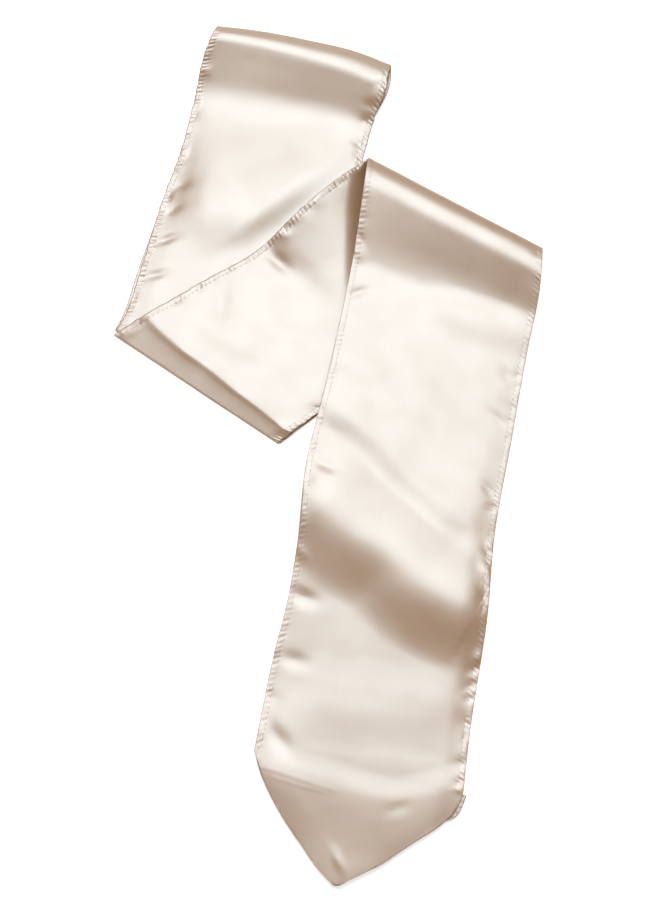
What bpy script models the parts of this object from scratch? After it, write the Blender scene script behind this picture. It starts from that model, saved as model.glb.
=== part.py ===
# A satin sash, doubled end to end and laid out flat in a zigzag.
# Three stretches show: upper, middle and front, which ends in a turned point.
# Each is a thin wall of cloth on one solid that holds the hidden layers.
# +X is to the right, +Y runs up the page and the floor is z = 0. The origin is under the middle of the box.
import math

import bmesh
import bpy
from mathutils import Vector
from mathutils.geometry import delaunay_2d_cdt

MM = 0.001

# Cloth and layers
SASH_WIDTH = 150 * MM
CLOTH = 1.0 * MM
GAP = 0.4 * MM
PLY = CLOTH + GAP
LAP = {"middle": 21 * MM, "front": 15 * MM}  # how far in from its left hem a stretch hides the one below it
TUCK = 12 * MM  # how far a turned stretch runs back under its own fold
TURN_CLEAR = 1.2  # a stretch ends this many lift distances short of the turned edge that wraps its far end

# How a stretch comes down where it crosses the hem of the one below
OFF_UPPER = 30 * MM  # distance outside the upper stretch's right hem
OFF_MIDDLE = 28 * MM  # distance outside the middle stretch's right hem
ONTO_UPPER = 18 * MM  # the middle stretch's own left hem lies a ply lower and rises over this distance
ONTO_MIDDLE = 14 * MM  # the same for the front stretch

# Hidden layers
LAYER_GAP = 0.5 * MM  # clear height between the hidden layers and the cloth on them
LAYER_REACH = 4 * MM  # the hidden layers follow the lowest cloth within this distance
SETBACK = 1.2 * MM  # the hidden layers stop this far inside the hems
OUTLINE_START = 1.15 * PLY  # and this far inside a turned edge
OUTLINE_END = 1.5 * PLY  # and this far before the next one
STEP = 0.35 * MM  # plan width of a step in the hidden layers
STEP_START = STEP / 2
STEP_END = STEP * 3 / 2
FOLD_START = {"top": -0.03, "low": -0.03, "high": -0.005}  # share of a fold's length, before its left end
FOLD_PAST = 0.03  # share of a fold's length, past its end

# The turned pocket behind the point, and the slit at its right side where its hem shows
POCKET_INSET = 4.0 * MM
POCKET_ONSET = 9 * MM  # the front stretch rises onto the pocket over this distance
POCKET_START = 0.3  # share of a row below the base line
SEAM_GAP = 0.3 * MM
HEM_SHOWS = 2.0 * MM
SLIT_END = 0.30  # share of the way from the base line to the tip
HEM_END = 0.26  # where the hem has gone back under, and the run that both ends take
SLIT_FADE = 0.125
CURL = 3.5 * MM  # width that curls down along the point's folded sides
CURL_MOST = 0.25  # but never more than this share of the width
CURL_DROP = PLY - GAP / 2

# Setback of the hidden layers inside the hems, negative where they show
# columns: share of the length, setback mm
EVEN = ((0, 1.2), (1, 1.2))
UPPER_PEEK = ((0, 1.2), (0.60, 1.0), (0.72, -1.5), (0.88, -3.4), (1, -1.5))
MIDDLE_PEEK = ((0, -2.5), (0.18, -2.5), (0.24, 1.2), (1, 1.2))

# Mesh steps
ROW_STEP = 10 * MM
COLUMNS = 13
TURN_ROWS = 4
POCKET_COLUMNS = 6
POINT_STEPS = 12
HIDDEN_STEP = 13 * MM
HIDDEN_CLEAR = 0.45 * HIDDEN_STEP  # between a loose point and the lines that the mesh follows
CUT_TOLERANCE = 1e-6
PLAN_TOLERANCE = 1e-5
SHARP_ANGLE = math.radians(50)

# Folds and base line of the point: left end (x, y), heading of the line, lean of the strip against it
# rows: name, x mm, y mm, heading deg, lean deg
FOLDS = {
    "top": (-93.7, 358.1, -15.0, 90.0),
    "low": (-171.1, 74.9, -35.4, 69.0),
    "high": (34.0, 230.7, -30.5, 70.0),
    "base": (-54.3, -261.6, -11.8, 77.0),
}

# Soft rolls at the folds
# columns: crest height, crest distance in, underside lift distance, settled distance, mm
ROLLS = {
    "top": (11.0, 16.0, 6.0, 66.0),
    "low": (10.5, 18.0, 7.0, 60.0),
    "high": (12.0, 19.0, 6.0, 72.0),
}

# How far each hem or side bows to its left, seen along the strip. columns: share of the length, bow mm
BOWS = {
    "upper_left": (
        (0, 0), (0.11, -3.0), (0.24, -0.2), (0.40, 2.9), (0.57, 1.9), (0.78, 3.4), (0.94, 3.3), (1, 0)),
    "upper_right": ((0, 0), (0.04, 2.7), (0.15, -0.8), (0.30, 0), (1, 0)),
    "middle_left": ((0, 0), (0.13, -2.8), (0.33, -6.2), (0.50, -10.8), (0.70, -5.5), (0.90, -0.8), (1, 0)),
    "middle_right": ((0, 0), (1, 0)),
    "front_left": (
        (0, 0), (0.18, 2.6), (0.41, 0), (0.54, -3.2), (0.68, 1.8), (0.77, 2.2), (0.84, 0), (1, -1)),
    "front_right": (
        (0, 0), (0.10, 2.3), (0.19, 0), (0.38, -2.4), (0.55, -4.6), (0.70, -1.1), (0.90, -1.4), (1, 0)),
    "point_left": ((0, 0), (0.08, -2.9), (0.33, -6.5), (0.63, -5.3), (0.90, -2.6), (1, 0)),
    "point_right": ((0, 0), (0.10, 6.3), (0.24, 8.5), (0.45, 7.2), (0.70, 5.7), (1, 0)),
    "top_fold": ((0, 0), (0.16, 3.4), (0.50, 6.0), (0.83, 4.8), (1, 0)),
}
BOW_FADE = (0.06, 0.20)  # the top fold's bow fades along the strip: start and run, as shares of the length

TIP = Vector((3.9 * MM, -358.0 * MM))
TIP_WIDTH = 5.0 * MM

# Largest soft ridges of the cloth: two ends of the crest, height, width of the far and near slopes
# columns: stretch, x0, y0, x1, y1, height, far, near, mm
RIDGES = (
    ("front", -12, -64, 110, -163, 4.6, 62, 38),
    ("front", 5, 10, 104, -86, 1.5, 45, 24),
    ("front", -20, -222, 80, -232, 1.6, 40, 36),
    ("front", 4, -325, 30, -316, 2.2, 16, 24),
    ("middle", -54, 152, 34, 232, 3.0, 60, 62),
    ("middle", -50, 148, 6, 82, 2.0, 26, 22),
    ("middle", -118, 96, -70, 60, 1.6, 22, 20),
    ("upper", -92, 222, 10, 206, 1.4, 30, 26),
)
RIDGE_PAST = 0.25  # share of its length that a ridge runs on past each end
RIDGE_FADE = 0.35  # share of its length over which each end dies out
RIDGE_AT_HEM = 0.35  # share of its height that a ridge keeps on a hem, which the stitching holds down
RIDGE_FROM_HEM = 26 * MM  # it has its full height this far in
RIDGE_BESIDE_MIDDLE = 26 * MM  # upper ridges grow over this distance from the middle stretch's hem
RIDGE_BESIDE_FRONT = (4 * MM, 30 * MM)  # where middle ridges start beside the front's hem, and grow over

# Satin of each node
SATIN_ROUGHNESS = 0.32
UPPER_COLOUR = (0.82, 0.72, 0.63)
MIDDLE_COLOUR = (0.78, 0.67, 0.58)
FRONT_COLOUR = (0.85, 0.76, 0.68)
POCKET_COLOUR = (0.80, 0.70, 0.61)
HIDDEN_COLOUR = (0.62, 0.52, 0.44)


def eased(table, at):
    """Reads a two-column table at a place, with a smooth run from row to row."""
    for (a, low), (b, high) in zip(table, table[1:]):
        if at <= b:
            share = (at - a) / (b - a)
            return low + (high - low) * smooth(share)
    return table[-1][1]


def smooth(share):
    share = min(1.0, max(0.0, share))
    return share * share * (3 - 2 * share)


def fold_ends(name):
    """Left and right ends of a fold, a sash's width apart across the strip."""
    x, y, heading, lean = FOLDS[name]
    left = Vector((x * MM, y * MM))
    heading = math.radians(heading)
    length = SASH_WIDTH / math.sin(math.radians(lean))
    return left, left + Vector((math.cos(heading), math.sin(heading))) * length


def edge_point(start, end, bow, at):
    """A point on a hem or side that bows to its left by the named table."""
    along = (end - start).normalized()
    left = Vector((-along.y, along.x))
    return start.lerp(end, at) + left * eased(BOWS[bow], min(1.0, max(0.0, at))) * MM


class Stretch:
    """A run of the strip from one fold to the next, with a plan map of (share along, share across)."""

    def __init__(self, name, start, end):
        self.name, self.start, self.end = name, start, end
        self.left0, self.right0 = fold_ends(start)
        self.left1, self.right1 = fold_ends(end)
        self.length = ((self.left1 - self.left0).length + (self.right1 - self.right0).length) / 2

    def plan(self, along, across, inset=0.0):
        """A plan point a share along and across the strip, counted from an inset inside the first fold."""
        fold = (self.right0 - self.left0).normalized()
        left_run, right_run = self.left1 - self.left0, self.right1 - self.right0
        left_inset = inset / abs(left_run.cross(fold))
        right_inset = inset / abs(right_run.cross(fold))
        left_along = left_inset + (1 - left_inset) * along
        right_along = right_inset + (1 - right_inset) * along
        left = edge_point(self.left0, self.left1, self.name + "_left", left_along)
        right = edge_point(self.right0, self.right1, self.name + "_right", right_along)
        point = left.lerp(right, across)
        if self.start == "top":
            start, run = BOW_FADE
            bow = eased(BOWS["top_fold"], across) * MM
            point -= left_run.normalized() * bow * (1 - smooth((left_along - start) / run))
        return point

    def hem_inset(self, side, point):
        """How far a plan point lies inside the left or right hem."""
        a, b = (self.left0, self.left1) if side == "left" else (self.right0, self.right1)
        along = (b - a).normalized()
        normal = Vector((-along.y, along.x))
        at = (point - a).dot(along) / (b - a).length
        bow = eased(BOWS[self.name + "_" + side], min(1.0, max(0.0, at))) * MM
        out = (point - a).dot(normal) - bow
        return out if (self.right0 - a).dot(normal) + (self.left0 - a).dot(normal) > 0 else -out


def fold_inset(name, point):
    """How far a plan point lies on the cloth's side of a fold, or past the base line."""
    left, right = fold_ends(name)
    along = (right - left).normalized()
    normal = Vector((along.y, -along.x))
    distance = (point - left).dot(normal)
    if name == "top":
        distance += eased(BOWS["top_fold"], min(1.0, max(0.0, (point - left).dot(along) / SASH_WIDTH))) * MM
    return distance if name in ("top", "base", "high") else -distance


UPPER = Stretch("upper", "top", "low")
MIDDLE = Stretch("middle", "low", "high")
FRONT = Stretch("front", "high", "base")


def ridge_height(stretch, point):
    """Sum of the soft ridges on a stretch: each rises over its far slope and falls over its near one."""
    total = 0.0
    for name, x0, y0, x1, y1, height, far, near in RIDGES:
        if name != stretch:
            continue
        start, end = Vector((x0, y0)) * MM, Vector((x1, y1)) * MM
        along = (end - start).normalized()
        normal = Vector((-along.y, along.x))
        at = (point - start).dot(along) / (end - start).length
        side = (point - start).dot(normal)
        ends = smooth((at + RIDGE_PAST) / RIDGE_FADE) * smooth((1 + RIDGE_PAST - at) / RIDGE_FADE)
        reach = (far if side > 0 else near) * MM
        total += height * MM * ends * smooth(1 - abs(side) / reach)
    return total


def roll_top(name, inset, settled):
    """Outer height of a turned edge, from halfway up its outer side to where it has settled."""
    crest, crest_in, _, settled_in = (value * MM for value in ROLLS[name])
    if inset >= settled_in:
        return settled
    if inset >= crest_in:
        share = (inset - crest_in) / (settled_in - crest_in)
        return settled + (crest - settled) * (1 + math.cos(math.pi * share)) / 2
    reach = (crest_in - inset) / crest_in
    return crest / 2 * (1 + math.sqrt(max(0.0, 1 - reach * reach)))


def middle_base(point):
    """Underside of the middle stretch with no roll or ridge: it drops off the upper stretch's right hem."""
    over_upper = smooth(1 + UPPER.hem_inset("right", point) / OFF_UPPER)
    at_hem = 1 - smooth(MIDDLE.hem_inset("left", point) / ONTO_UPPER)
    return PLY * (1 + over_upper * (2 - at_hem))


def front_base(point):
    """Underside of the front stretch with no roll or ridge, on the middle stretch and then the floor layer."""
    over_middle = smooth(1 + MIDDLE.hem_inset("right", point) / OFF_MIDDLE)
    in_from_hem = smooth(FRONT.hem_inset("left", point) / ONTO_MIDDLE)
    return PLY + over_middle * (cloth_top(MIDDLE, point) + GAP - PLY * (1 - in_from_hem))


def pocket_rise(point):
    """How much the front stretch rises onto the two turned pockets at the point."""
    return 2 * PLY * smooth(1 + fold_inset("base", point) / POCKET_ONSET)


def near_hem_fade(stretch, point):
    """Share of its height that a ridge has at a distance from the hems."""
    nearest = min(stretch.hem_inset("left", point), stretch.hem_inset("right", point))
    return RIDGE_AT_HEM + (1 - RIDGE_AT_HEM) * smooth(nearest / RIDGE_FROM_HEM)


def cloth_top(stretch, point):
    """Outer height of a stretch's cloth above the floor."""
    if stretch is UPPER:
        base = PLY
        clear = smooth(-MIDDLE.hem_inset("left", point) / RIDGE_BESIDE_MIDDLE)
    elif stretch is MIDDLE:
        start, run = RIDGE_BESIDE_FRONT
        base = middle_base(point)
        clear = smooth((-FRONT.hem_inset("left", point) - start) / run)
    else:
        base = front_base(point) + pocket_rise(point)
        clear = 1.0
    top = base + CLOTH + ridge_height(stretch.name, point) * clear * near_hem_fade(stretch, point)
    return roll_top(stretch.start, fold_inset(stretch.start, point), top)


def turn_rows(name):
    """Rows of a turned edge, from the tuck below it up to its crest: inset and height."""
    crest, crest_in, lift_in, _ = (value * MM for value in ROLLS[name])
    rows = [(TUCK, 0.0), ((TUCK + lift_in) / 2, 0.0)]
    for step in range(TURN_ROWS):
        angle = math.pi / 2 * step / TURN_ROWS
        rows.append((lift_in * (1 - math.sin(angle)), crest / 2 * (1 - math.cos(angle))))
    for step in range(TURN_ROWS * 2):
        angle = math.pi / 2 * step / (TURN_ROWS * 2)
        rows.append((crest_in * (1 - math.cos(angle)), None))
    return rows


def stretch_rows(stretch):
    """Rows of plan and height points along a stretch, from its tuck to its far end."""
    rows = []
    for inset, height in turn_rows(stretch.start):
        rows.append(cloth_row(stretch, 0.0, inset, height))
    crest_in = ROLLS[stretch.start][1] * MM
    count = round((stretch.length - crest_in) / ROW_STEP)
    for step in range(count + 1):
        rows.append(cloth_row(stretch, step / count, crest_in))
    return rows


def cloth_row(stretch, along, inset, height=None):
    """One row of points across a stretch, on the cloth unless a height is given."""
    row = [stretch.plan(along, column / COLUMNS, inset) for column in range(COLUMNS + 1)]
    return [on_cloth(stretch, point, height) for point in row]


def on_cloth(stretch, plan, height=None):
    return plan.to_3d() + Vector((0, 0, cloth_top(stretch, plan) if height is None else height))


def point_sides(at, grow=0.0):
    """Left and right sides of the point at a share of the way from its base line to its tip."""
    left0, right0 = FRONT.left1, FRONT.right1
    toward_left = (left0 - right0).normalized()
    left1, right1 = TIP + toward_left * TIP_WIDTH / 2, TIP - toward_left * TIP_WIDTH / 2
    left = edge_point(left0, left1, "point_left", at)
    right = edge_point(right0, right1, "point_right", at)
    across = (right - left).normalized() * grow
    return left - across, right + across


def point_rows():
    """Rows of the point's front, which curls down along its two folded sides."""
    rows = []
    count = round((TIP - FRONT.left1).length / ROW_STEP)
    for step in range(1, count + 1):
        left, right = point_sides(step / count)
        curl = min(CURL / (right - left).length, CURL_MOST)
        between = [curl + (1 - 2 * curl) * column / (COLUMNS - 2) for column in range(COLUMNS - 1)]
        row = [on_cloth(FRONT, left.lerp(right, share)) for share in [0] + between + [1]]
        row[0].z -= CURL_DROP
        row[-1].z -= CURL_DROP * smooth((step / count - SLIT_END) / SLIT_FADE)
        rows.append(row)
    return rows


def add_grid(bm, rows):
    """Adds a grid of quads to a bmesh, facing up where its rows lie flat."""
    verts = [[bm.verts.new(point) for point in row] for row in rows]
    for upper, lower in zip(verts, verts[1:]):
        for column in range(len(upper) - 1):
            bm.faces.new((upper[column], lower[column], lower[column + 1], upper[column + 1]))


def cut_along(bm, start, end):
    """Cuts away what lies to the left of a plan line."""
    along = (end - start).normalized()
    normal = Vector((-along.y, along.x, 0))
    geometry = bm.verts[:] + bm.edges[:] + bm.faces[:]
    bmesh.ops.bisect_plane(
        bm, geom=geometry, plane_co=start.to_3d(), plane_no=normal, clear_outer=True, dist=CUT_TOLERANCE)


def lap_line(stretch, inset=0.0):
    """The line inside a stretch's left hem where what it hides ends, or one a little further in."""
    run = stretch.left1 - stretch.left0
    normal = Vector((-run.y, run.x)).normalized()
    side = math.copysign(1, (stretch.right0 - stretch.left0).dot(normal))
    start = stretch.left0 + normal * side * (LAP[stretch.name] + inset)
    return start, start + run


def lap_inset(stretch, point):
    """How far a plan point lies inside that line."""
    start, end = lap_line(stretch)
    inward = (start - stretch.left0).normalized()
    return (point - start).dot(inward)


def finish_object(name, bm, colour, thickness=None):
    """Makes a mesh object with its own satin, and gives a sheet its thickness below its face."""
    mesh = bpy.data.meshes.new(name)
    bm.to_mesh(mesh)
    bm.free()
    mesh.shade_smooth()
    mesh.set_sharp_from_angle(angle=SHARP_ANGLE)
    mesh.materials.append(satin(name, colour))
    obj = bpy.data.objects.new(name, mesh)
    bpy.context.collection.objects.link(obj)
    if thickness:
        wall = obj.modifiers.new("cloth thickness", "SOLIDIFY")
        wall.thickness = thickness
        wall.offset = -1
        wall.use_even_offset = True


def satin(name, colour):
    material = bpy.data.materials.new(name + "_satin")
    material.use_nodes = True
    shader = material.node_tree.nodes["Principled BSDF"]
    shader.inputs["Base Color"].default_value = (*colour, 1)
    shader.inputs["Roughness"].default_value = SATIN_ROUGHNESS
    shader.inputs["Metallic"].default_value = 0.0
    return material


def cut_before_turn(bm, name):
    """Ends a stretch just short of the turned edge that wraps its far end."""
    left, right = fold_ends(name)
    beyond = Vector((left.y - right.y, right.x - left.x)).normalized()
    if name == "low":
        left, right, beyond = right, left, -beyond
    stop = beyond * ROLLS[name][2] * MM * TURN_CLEAR
    cut_along(bm, left - stop, right - stop)


def make_upper():
    bm = bmesh.new()
    add_grid(bm, stretch_rows(UPPER))
    start, end = lap_line(MIDDLE)
    cut_along(bm, end, start)
    cut_before_turn(bm, "low")
    finish_object("upper_stretch", bm, UPPER_COLOUR, CLOTH)


def make_middle():
    bm = bmesh.new()
    add_grid(bm, [row[::-1] for row in stretch_rows(MIDDLE)])
    start, end = lap_line(FRONT)
    cut_along(bm, start, end)
    cut_before_turn(bm, "high")
    finish_object("middle_stretch", bm, MIDDLE_COLOUR, CLOTH)


def make_front():
    bm = bmesh.new()
    add_grid(bm, stretch_rows(FRONT) + point_rows())
    finish_object("front_stretch", bm, FRONT_COLOUR, CLOTH)


def pocket_ends(side, at):
    """Ends of a row of half the turned pocket: its folded side and the centre seam."""
    left, right = point_sides(at, -POCKET_INSET)
    across = (right - left).normalized()
    seam = left.lerp(right, 0.5)
    if side == "left":
        return left, seam - across * SEAM_GAP / 2
    shows = (POCKET_INSET + HEM_SHOWS) * smooth((HEM_END - at) / SLIT_FADE)
    seam += across * (shows + SEAM_GAP) / 2
    return seam, right + across * shows


def make_pocket_back(side):
    """Half of the turned pocket behind the point, from its folded side to the centre seam."""
    bm = bmesh.new()
    count = round((TIP - FRONT.left1).length / ROW_STEP)
    height = 2 * PLY + CLOTH
    rows = []
    for step in range(count):
        start, end = pocket_ends(side, (step + POCKET_START) / count)
        row = [start.lerp(end, column / POCKET_COLUMNS) for column in range(POCKET_COLUMNS + 1)]
        rows.append([point.to_3d() + Vector((0, 0, height)) for point in row])
    add_grid(bm, rows)
    finish_object("point_back_" + side, bm, POCKET_COLOUR, CLOTH)


def beside_fold(name, point):
    """Inset from a fold where the point is between the fold's two ends, and otherwise infinity."""
    left, right = fold_ends(name)
    share = (point - left).dot((right - left).normalized()) / (right - left).length
    return fold_inset(name, point) if FOLD_START[name] < share < 1 + FOLD_PAST else math.inf


def inner_turn(name, inset, lower):
    """Height of the inside of a turned edge, upper or lower half."""
    crest, crest_in, lift_in, _ = (value * MM for value in ROLLS[name])
    reach = lift_in if lower else crest_in
    share = min(1.0, max(0.0, (reach - inset) / (reach - PLY)))
    half = (crest / 2 - PLY) * math.sqrt(1 - share * share)
    return crest / 2 - half if lower else crest / 2 + half


def hidden_bottom(point):
    """Underside of the hidden layers: on the floor, but above the tucked-in cloth at each turned edge."""
    height = 0.0
    for name in ROLLS:
        inset = beside_fold(name, point)
        if inset < ROLLS[name][2] * MM:
            height = max(height, inner_turn(name, inset, True))
        elif inset < TUCK + GAP + STEP_START:
            height = max(height, PLY)
    return height


def hidden_under(stretch, point):
    """Top of the hidden layers where a stretch lies on them."""
    inset = beside_fold(stretch.start, point)
    around = [point + Vector(shift) * LAYER_REACH for shift in ((0, 0), (1, 0), (-1, 0), (0, 1), (0, -1))]
    top = min(cloth_top(stretch, spot) for spot in around) - CLOTH - LAYER_GAP
    if stretch is FRONT:
        top -= pocket_rise(point)
    if inset < ROLLS[stretch.start][1] * MM:
        top = min(top, inner_turn(stretch.start, inset, False))
    return max(top, PLY - LAYER_GAP)


def hidden_top(point):
    """Top of the hidden layers, with a step along each line where what they carry changes."""
    if fold_inset("base", point) > STEP:
        return PLY + CLOTH
    in_front = FRONT.hem_inset("left", point) > 0 and beside_fold("high", point) > 0
    past_middle = MIDDLE.hem_inset("right", point) < -STEP_END
    if in_front and (past_middle or lap_inset(FRONT, point) > STEP):
        return hidden_under(FRONT, point)
    if lap_inset(MIDDLE, point) > STEP and MIDDLE.hem_inset("right", point) > -HIDDEN_STEP / 2:
        return hidden_under(MIDDLE, point)
    return hidden_under(UPPER, point)


def strip_outline(stretch, left_setback, right_setback):
    """Plan outline of a hidden run of the strip, just inside its hems and turned edges."""
    width = (stretch.right0 - stretch.left0).length
    end = 1.0 if stretch.end == "base" else 1 - OUTLINE_END / stretch.length
    steps = round(stretch.length / HIDDEN_STEP)
    left, right = [], []
    for step in range(steps + 1):
        along = end * step / steps
        left.append(stretch.plan(along, eased(left_setback, along) * MM / width, OUTLINE_START))
        right.append(stretch.plan(along, 1 - eased(right_setback, along) * MM / width, OUTLINE_START))
    return left, right


def point_outline():
    left, right = [], []
    for step in range(1, POINT_STEPS + 1):
        a, b = point_sides(step / POINT_STEPS, -SETBACK)
        left.append(a)
        right.append(b)
    return left, right


def inside(outline, point):
    """Even-odd test of a plan point in a closed outline."""
    crossed = False
    for a, b in zip(outline, outline[1:] + outline[:1]):
        if (a.y > point.y) != (b.y > point.y):
            x = a.x + (point.y - a.y) * (b.x - a.x) / (b.y - a.y)
            crossed = crossed != (point.x < x)
    return crossed


def clear_of(lines, point, distance):
    for a, b in lines:
        along = b - a
        share = min(1.0, max(0.0, (point - a).dot(along) / along.length_squared))
        if (a + along * share - point).length < distance:
            return False
    return True


def divided(start, end):
    count = max(1, round((end - start).length / HIDDEN_STEP))
    return [start.lerp(end, index / count) for index in range(count + 1)]


def beside_fold_line(name, inset):
    """Plan points along a fold, at an inset from it, run out a little past its ends."""
    left, right = fold_ends(name)
    past = (right - left) * FOLD_PAST
    inward = Vector((right.y - left.y, left.x - right.x)).normalized() * (1 if name != "low" else -1)
    points = divided(left - past, right + past)
    return [point + inward * (inset - fold_inset(name, point)) for point in points]


def hidden_lines(outlines):
    """The lines that the hidden layers' mesh follows: outlines, steps, and both sides of each tuck."""
    lines = [outline + outline[:1] for outline in outlines]
    for stretch in (MIDDLE, FRONT):
        for inset in (STEP_START, STEP_END):
            lines.append(divided(*lap_line(stretch, inset)))
    for name in ROLLS:
        for inset in (ROLLS[name][2] * MM, ROLLS[name][1] * MM, TUCK + GAP, TUCK + GAP + STEP):
            lines.append(beside_fold_line(name, inset))
    for inset in (STEP, STEP * 2):
        outward = (MIDDLE.right0 - MIDDLE.left0).normalized() * inset
        lines.append([point + outward for point in divided(MIDDLE.right0, MIDDLE.right1)])
    for inset in (STEP_START, STEP_END):
        lines.append([point - Vector((0, inset)) for point in divided(FRONT.left1, FRONT.right1)])
    return lines


def hidden_outlines():
    upper = strip_outline(UPPER, UPPER_PEEK, EVEN)
    middle = strip_outline(MIDDLE, EVEN, MIDDLE_PEEK)
    front = strip_outline(FRONT, EVEN, EVEN)
    point = point_outline()
    outlines = [left + right[::-1] for left, right in (upper, middle)]
    outlines.append(front[0] + point[0] + point[1][::-1] + front[1][::-1])
    return outlines


def loose_points(outlines, pairs, low, high):
    """Staggered plan points inside the outlines, clear of the lines that the mesh follows."""
    points = []
    for row in range(int((high.y - low.y) / HIDDEN_STEP) + 1):
        shift = HIDDEN_STEP / 2 * (row % 2)
        for column in range(int((high.x - low.x) / HIDDEN_STEP) + 1):
            spot = Vector((low.x + column * HIDDEN_STEP + shift, low.y + row * HIDDEN_STEP))
            if any(inside(outline, spot) for outline in outlines) and clear_of(pairs, spot, HIDDEN_CLEAR):
                points.append(spot)
    return points


def hidden_plan(outlines):
    """Plan mesh of the hidden layers: points and faces."""
    pairs = [pair for line in hidden_lines(outlines) for pair in zip(line, line[1:])]
    plan = [end for pair in pairs for end in pair]
    edges = [(index, index + 1) for index in range(0, len(plan), 2)]
    low = Vector((min(p.x for p in plan), min(p.y for p in plan)))
    high = Vector((max(p.x for p in plan), max(p.y for p in plan)))
    plan += loose_points(outlines, pairs, low, high)
    found = delaunay_2d_cdt(plan, edges, [], 0, PLAN_TOLERANCE)
    return found[0], found[2]


def in_hidden(outlines, points):
    """Whether a face between these plan points belongs to the hidden layers."""
    middle = sum(points, Vector((0, 0))) / len(points)
    return any(inside(outline, middle) for outline in outlines) and not between_turned_layers(middle)


def make_hidden():
    """One closed solid of every hidden layer: a plan mesh with a top and an underside."""
    outlines = hidden_outlines()
    points, faces = hidden_plan(outlines)
    bm = bmesh.new()
    heights = [hidden_bottom(point) for point in points]
    bottoms = [bm.verts.new((p.x, p.y, low)) for p, low in zip(points, heights)]
    tops = [bm.verts.new((p.x, p.y, max(hidden_top(p), low + CLOTH / 2))) for p, low in zip(points, heights)]
    rims = set()
    for face in faces:
        if not in_hidden(outlines, [points[index] for index in face]):
            continue
        bm.faces.new([tops[index] for index in face])
        bm.faces.new([bottoms[index] for index in reversed(face)])
        for a, b in zip(face, face[1:] + face[:1]):
            if (b, a) in rims:
                rims.remove((b, a))
            else:
                rims.add((a, b))
    for a, b in sorted(rims):
        bm.faces.new((tops[b], tops[a], bottoms[a], bottoms[b]))
    bmesh.ops.delete(bm, geom=[v for v in bm.verts if not v.link_faces], context="VERTS")
    finish_object("under_layers", bm, HIDDEN_COLOUR)


def between_turned_layers(point):
    """Where a stretch lies straight on the tucked-in cloth of the next fold, with no hidden layer between."""
    reach = TUCK + GAP + STEP
    at_high = beside_fold("high", point) < reach and lap_inset(FRONT, point) < STEP_START
    at_low = beside_fold("low", point) < reach and lap_inset(MIDDLE, point) < STEP_START
    return at_high or at_low


def build():
    for obj in list(bpy.data.objects):
        bpy.data.objects.remove(obj)
    make_upper()
    make_middle()
    make_front()
    make_pocket_back("left")
    make_pocket_back("right")
    make_hidden()


build()
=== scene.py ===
import math

import bpy
import numpy as np
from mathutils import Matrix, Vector


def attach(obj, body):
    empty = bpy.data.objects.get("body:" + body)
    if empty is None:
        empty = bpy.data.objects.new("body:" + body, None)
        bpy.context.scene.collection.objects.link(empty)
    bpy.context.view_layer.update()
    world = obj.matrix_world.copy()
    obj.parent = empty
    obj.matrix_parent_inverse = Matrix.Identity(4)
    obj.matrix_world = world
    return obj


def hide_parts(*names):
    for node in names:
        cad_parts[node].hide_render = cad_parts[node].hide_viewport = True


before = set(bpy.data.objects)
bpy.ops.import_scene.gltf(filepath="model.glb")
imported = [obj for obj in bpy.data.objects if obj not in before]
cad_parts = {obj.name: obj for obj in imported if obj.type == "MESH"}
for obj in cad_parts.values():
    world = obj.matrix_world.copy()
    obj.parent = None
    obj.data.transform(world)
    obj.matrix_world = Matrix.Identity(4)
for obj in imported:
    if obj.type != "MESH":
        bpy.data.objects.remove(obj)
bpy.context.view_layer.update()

# A satin sash, doubled end to end and laid flat in a zigzag.
# Shapes are worked out in millimetres, in plan and height, and the vertices are written in metres.

mm = 0.001

sash = {
    "width": 150.0,  # finished, a 6 inch sash
    "hemAllowance": 9.0,  # turned twice along each long edge
    "cloth": 0.5,  # drawn thickness of one ply
    "solidCloth": 1.0,  # the frame's walls, whose outer faces these pieces share
    "gap": 0.4,
    "ply": 1.4,
    "tuck": 12.0,  # a turned ply runs back this far under its own fold
    "onFloor": 0.65,  # top of a ply that lies on the floor
    "dropRun": (80, 140),  # how gently a stretch comes down off the hem of the one below
    "rowStep": {"upper": 1.0, "middle": 1.0, "front": 1.25},  # keeps each stretch under 200,000 triangles
    "coarseStep": 2.5,
}

# Folds across the strip: left end, heading of the line, lean of the strip against it
folds = {
    "top": {"x": -93.7, "y": 359.3, "heading": -14.4, "lean": 90.0},
    "low": {"x": -171.1, "y": 74.9, "heading": -35.4, "lean": 69.0},
    "high": {"x": 31.9, "y": 232.3, "heading": -30.6, "lean": 67.6},
    "base": {"x": -54.3, "y": -261.6, "heading": -11.8, "lean": 77.0},
}

# Soft rolls. Values run from the fold's left end to its right end. The edge is the rounded turn itself, and the profile
# is the rise from it to the crest: share of the way, share of the height.
rolls = {
    "top": {"edge": (13.2, 11.2), "edgeIn": (11, 19), "crest": (13.2, 11.2), "crestIn": (11, 19),
            "settled": (84, 73), "lift": 6, "profile": ((0, 0), (1, 0)), "soft": ((0.12, 0.5), (0.2, 0.45))},
    "low": {"edge": (1.8, 1.6), "edgeIn": (1.0, 1.0), "crest": (5.9, 4.8, 3.8),
            "crestIn": (31, 24, 20, 19.5, 16.5, 15, 12), "settled": (64, 38), "lift": 2,
            "profile": ((0, 0), (0.3, 0.25), (0.6, 0.52), (0.8, 0.74), (0.93, 0.93), (1, 1)),
            "soft": ((0.4, 0.2), (0.4, 0.2))},
    "high": {"edge": (15.2, 11.8), "edgeIn": (18, 17), "crest": (15.2, 11.8), "crestIn": (18, 17),
             "settled": (97, 76), "lift": 6, "profile": ((0, 0), (1, 0)), "soft": ((0.15, 0.2), (0.2, 0.55))},
}

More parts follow.
